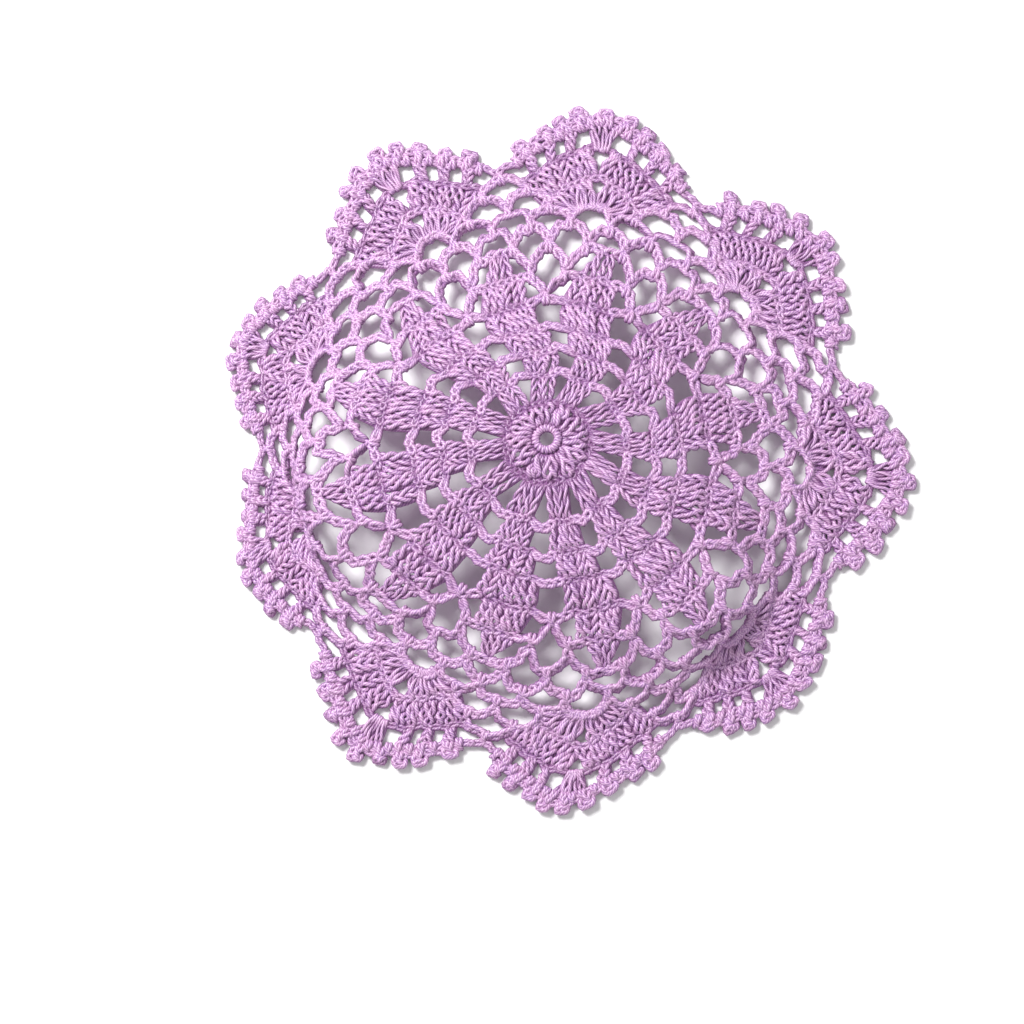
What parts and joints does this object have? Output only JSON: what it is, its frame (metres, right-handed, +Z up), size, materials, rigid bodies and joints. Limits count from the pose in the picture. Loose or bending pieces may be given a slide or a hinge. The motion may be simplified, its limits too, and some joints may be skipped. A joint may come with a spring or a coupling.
{
  "type": "crocheted lace doily",
  "caption": "Round crocheted lace doily: leaf shapes round a centre ring, open netting and scalloped lobes with a picot edge, laid out as a low uneven mound.",
  "frame": {"origin": "centre of the doily's box on the surface it lies on, level with the underside of its lobes", "axes": "+Z up from the surface, +X to the right and +Y away from a viewer who stands at the doily's lower edge"},
  "size_m": [0.1928, 0.2054, 0.017],
  "materials": {
    "lilac_cotton": "soft sheen of mercerised cotton"
  },
  "bodies": {
    "root": {"doily": "lilac_cotton"}
  },
  "joints": []
}
